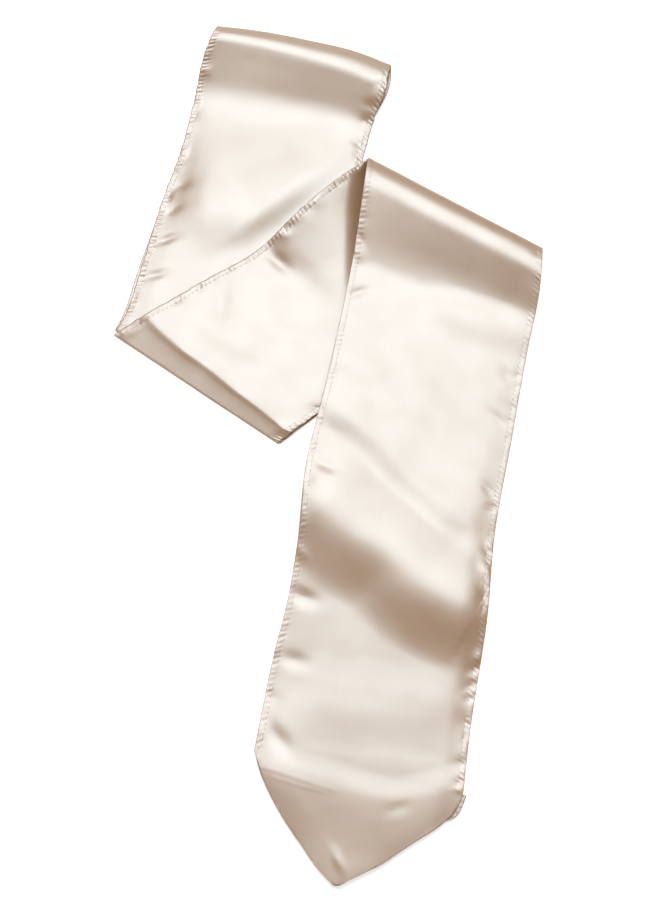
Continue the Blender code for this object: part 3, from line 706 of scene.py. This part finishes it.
def makeStitches(name, points, along, across, thread):
    # lockstitches along both hems: one capsule, copied at each place along the stitch line
    bpy.ops.object.select_all(action="DESELECT")
    bpy.ops.mesh.primitive_uv_sphere_add(segments=6, ring_count=5, radius=1)
    stitch = bpy.context.object
    shape = np.array([v.co[:] for v in stitch.data.vertices]) * np.array((stitches["thread"] / 2, stitches["thread"] / 2, stitches["length"] / 2))
    faces = [np.array(face.vertices[:]) for face in stitch.data.polygons]
    bpy.data.objects.remove(stitch)
    verts, polygons = [], []
    for inset in (hem["stitchIn"], sash["width"] - hem["stitchIn"]):
        column = np.argmin(np.abs(across * sash["width"] - inset))
        path = points[:, column]
        keep = path[:, 2] > 0.5
        if name == "front":
            keep &= foldInset("base", path[:, :2]) < -3
        path, beside = path[keep], points[:, column + 2][keep]
        length = np.concatenate(((0,), np.cumsum(np.linalg.norm(np.diff(path, axis=0), axis=1))))
        for place in np.arange(2.0, length[-1] - 2.0, hem["pitch"]):
            a, b, c = (np.array([np.interp(place + shift, length, line[:, axis]) for axis in range(3)])
                       for shift, line in ((-stitches["length"] / 2, path), (stitches["length"] / 2, path), (0, beside)))
            forward = unit(b - a)
            side = c - (a + b) / 2
            side = unit(side - forward * (side @ forward))
            up = np.cross(forward, side)
            up *= 1 if up[2] > 0 or abs(up[2]) < 0.2 else -1
            base = len(verts) * len(shape)
            verts.append((a + b) / 2 + up * stitches["thread"] * 0.1 + shape @ np.stack((side, up, forward)))
            polygons += [tuple(face + base) for face in faces]
    mesh = bpy.data.meshes.new(name + "Stitches")
    mesh.from_pydata((np.concatenate(verts) * mm).tolist(), [], polygons)
    threads = bpy.data.objects.new(name + "Stitches", mesh)
    bpy.context.collection.objects.link(threads)
    bpy.ops.object.select_all(action="DESELECT")
    threads.select_set(True)
    bpy.context.view_layer.objects.active = threads
    bpy.ops.object.mode_set(mode="EDIT")
    bpy.ops.mesh.select_all(action="SELECT")
    bpy.ops.mesh.normals_make_consistent(inside=False)
    bpy.ops.object.mode_set(mode="OBJECT")
    bpy.ops.object.shade_smooth()
    mesh.materials.append(thread)
    print(name, "stitches:", len(verts))
    return threads


def makeCamera():
    lookAt, stand = Vector((-0.00075, -0.0246, 0)), Vector((-0.00075, -0.61094, 1.44400))
    bpy.ops.object.camera_add(location=stand, rotation=((stand - lookAt).to_track_quat("Z", "Y")).to_euler())
    camera = bpy.context.object
    camera.data.lens, camera.data.sensor_width = 80.2, 36
    bpy.context.scene.camera = camera


def addSoftbox(name, place, target, size, watts, colour=(1, 1, 1)):
    place, target = Vector(place), Vector(target)
    bpy.ops.object.light_add(type="AREA", location=place, rotation=(place - target).to_track_quat("Z", "Y").to_euler())
    lamp = bpy.context.object
    lamp.name = name
    lamp.data.shape = "RECTANGLE"
    lamp.data.size, lamp.data.size_y = size
    lamp.data.energy = watts
    lamp.data.color = colour


def makeStage():
    bpy.ops.mesh.primitive_plane_add(size=6, location=(0, 0, -0.00005))
    floor = bpy.context.object
    floor.name = "floor"
    # white acrylic panel lit from behind, so that only a trace of shadow shows, with the faintest cloudiness
    paper, tree, shader = startMaterial("litAcrylicPanel")
    place = addNode(tree, "ShaderNodeTexCoord", {}, {}).outputs["Object"]
    pulp = addNode(tree, "ShaderNodeTexNoise", {}, {"Vector": place, "Scale": 1 / 0.03}).outputs["Fac"]
    colour = addNode(tree, "ShaderNodeMix", {"data_type": "RGBA"}, {
        "Factor": pulp, "A": hexColour("fbfbfb"), "B": hexColour("fefefe")})
    tree.links.new([out for out in colour.outputs if out.type == "RGBA"][0], shader.inputs["Base Color"])
    shader.inputs["Roughness"].default_value = 0.9
    shader.inputs["Emission Color"].default_value = hexColour("ffffff")
    shader.inputs["Emission Strength"].default_value = 0.5
    floor.data.materials.append(paper)
    world = bpy.data.worlds.new("studio")
    world.use_nodes = True
    world.node_tree.nodes["Background"].inputs["Color"].default_value = (1, 1, 1, 1)
    world.node_tree.nodes["Background"].inputs["Strength"].default_value = 0.07
    bpy.context.scene.world = world
    height, near, far = 20.0, math.tan(math.radians(14.7)), math.tan(math.radians(42))
    addSoftbox("key", (0, height * (near + far) / 2, height), (0, height * (near + far) / 2, 0),
               (15.0, height * (far - near)), 4600, (0.895, 0.97, 1.0))
    for side in range(8):
        turn = math.pi / 4 * side
        addSoftbox("panel" + str(side + 1), (30 * math.sin(turn), 30 * math.cos(turn), 12), (0, 0, 0),
                   (18.0, 14.0), 1250, (0.92, 0.97, 1.0))
    bpy.context.scene.view_settings.view_transform = "Standard"


satin, thread = makeSatin(), makeThread()
makeCamera()
makeStage()

pieces = {}
for seed, name in ((10, "upper"), (20, "middle"), (30, "front")):
    sheet, points, along, across = makeStretch(name, seed, name == "middle", satin)
    threads = makeStitches(name, points, along, across, thread)
    pieces[name] = (sheet, (sash["width"] + 2 * sash["hemAllowance"]) * mm, along.max() * mm, [threads])
    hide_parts(name + "_stretch")

even = ((0, 1.2), (1, 1.2))
setbacks = {
    "upper": (((0, 1.2), (0.60, 1.0), (0.72, -0.8), (0.88, -2.2), (1, -1.2)), ((0, -0.2), (0.1, -0.2), (0.2, 1.2), (1, 1.2))),
    "middle": (even, ((0, -1.2), (0.15, -1.2), (0.28, 1.2), (1, 1.2))),
    "front": (even, even),
}
for name, (left, right) in setbacks.items():
    sheet = makeUnderPly(name, left, right, name == "middle", satin)
    pieces[name + "Under"] = (sheet, (sash["width"] + 2 * sash["hemAllowance"]) * mm, pieces[name][2], [])
    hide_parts("under_layers")
back = makePointBack(satin)
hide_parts("point_back_left", "point_back_right")
pieces["pointBack"] = (back, 0.155, 0.100, [])

for sheet, width, length, sewn in pieces.values():
    for piece in [sheet] + sewn:
        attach(piece, "root")
